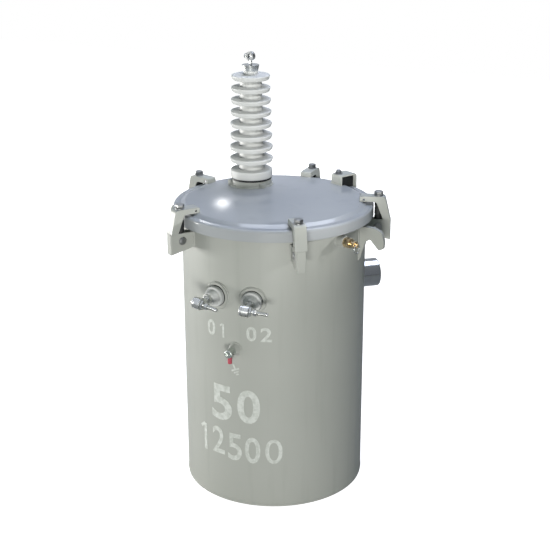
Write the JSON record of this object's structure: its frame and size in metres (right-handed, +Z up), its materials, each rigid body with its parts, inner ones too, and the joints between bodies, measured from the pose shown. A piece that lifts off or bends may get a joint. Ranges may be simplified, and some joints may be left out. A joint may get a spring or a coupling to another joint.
{
  "type": "pole mounted transformer",
  "caption": "Cylindrical oil-filled pole mounted transformer: clamped cover with a shed porcelain bushing, front low voltage terminals, lifting lugs and rear pole hangers.",
  "frame": {"origin": "centre of the tank's underside", "axes": "+Z up along the tank's axis, +Y towards the pole, -Y towards the low voltage terminals, +X to the right seen from the low voltage side"},
  "size_m": [0.5202, 0.5458, 0.9614],
  "materials": {
    "tank_paint": "semi-gloss",
    "cover_paint": "gloss",
    "zinc_bolt": "zinc plated",
    "grey_porcelain": "glazed",
    "black_rubber": "matt",
    "tinned_terminal": "tin plated",
    "earth_metal": "plated",
    "red_plastic": "gloss",
    "valve_brass": "machined",
    "ring_steel": "bright wire",
    "polished_steel": "polished"
  },
  "bodies": {
    "root": {"clamp_bolt_1": "zinc_bolt", "clamp_bolt_2": "zinc_bolt", "clamp_bolt_3": "zinc_bolt", "clamp_bolt_4": "zinc_bolt", "clamp_bolt_5": "zinc_bolt", "clamp_lug_1": "tank_paint", "clamp_lug_2": "tank_paint", "clamp_lug_3": "tank_paint", "clamp_lug_4": "tank_paint", "clamp_lug_5": "tank_paint", "cover": "cover_paint", "cover_bracket": "tank_paint", "cover_clamp_1": "tank_paint", "cover_clamp_2": "tank_paint", "cover_clamp_3": "tank_paint", "cover_clamp_4": "tank_paint", "cover_clamp_5": "tank_paint", "cover_gasket": "black_rubber", "earth_boss": "tank_paint", "earth_screw_cap": "red_plastic", "earth_terminal": "earth_metal", "hanger_lower": "tank_paint", "hanger_upper": "tank_paint", "hv_bushing": "grey_porcelain", "hv_collar": "tank_paint", "hv_gasket": "black_rubber", "hv_screw": "tinned_terminal", "hv_terminal": "tinned_terminal", "lifting_lug_left": "tank_paint", "lifting_lug_right": "tank_paint", "lv_bolt_left": "tinned_terminal", "lv_bolt_right": "tinned_terminal", "lv_bushing_left": "grey_porcelain", "lv_bushing_right": "grey_porcelain", "lv_gaskets": "black_rubber", "lv_seats": "tank_paint", "lv_terminal_left": "tinned_terminal", "lv_terminal_right": "tinned_terminal", "relief_coupling": "tank_paint", "relief_ring": "ring_steel", "relief_valve": "valve_brass", "switch_cap": "polished_steel", "tank_bottom": "tank_paint", "tank_rim": "tank_paint", "tank_shell": "tank_paint"}
  },
  "joints": []
}
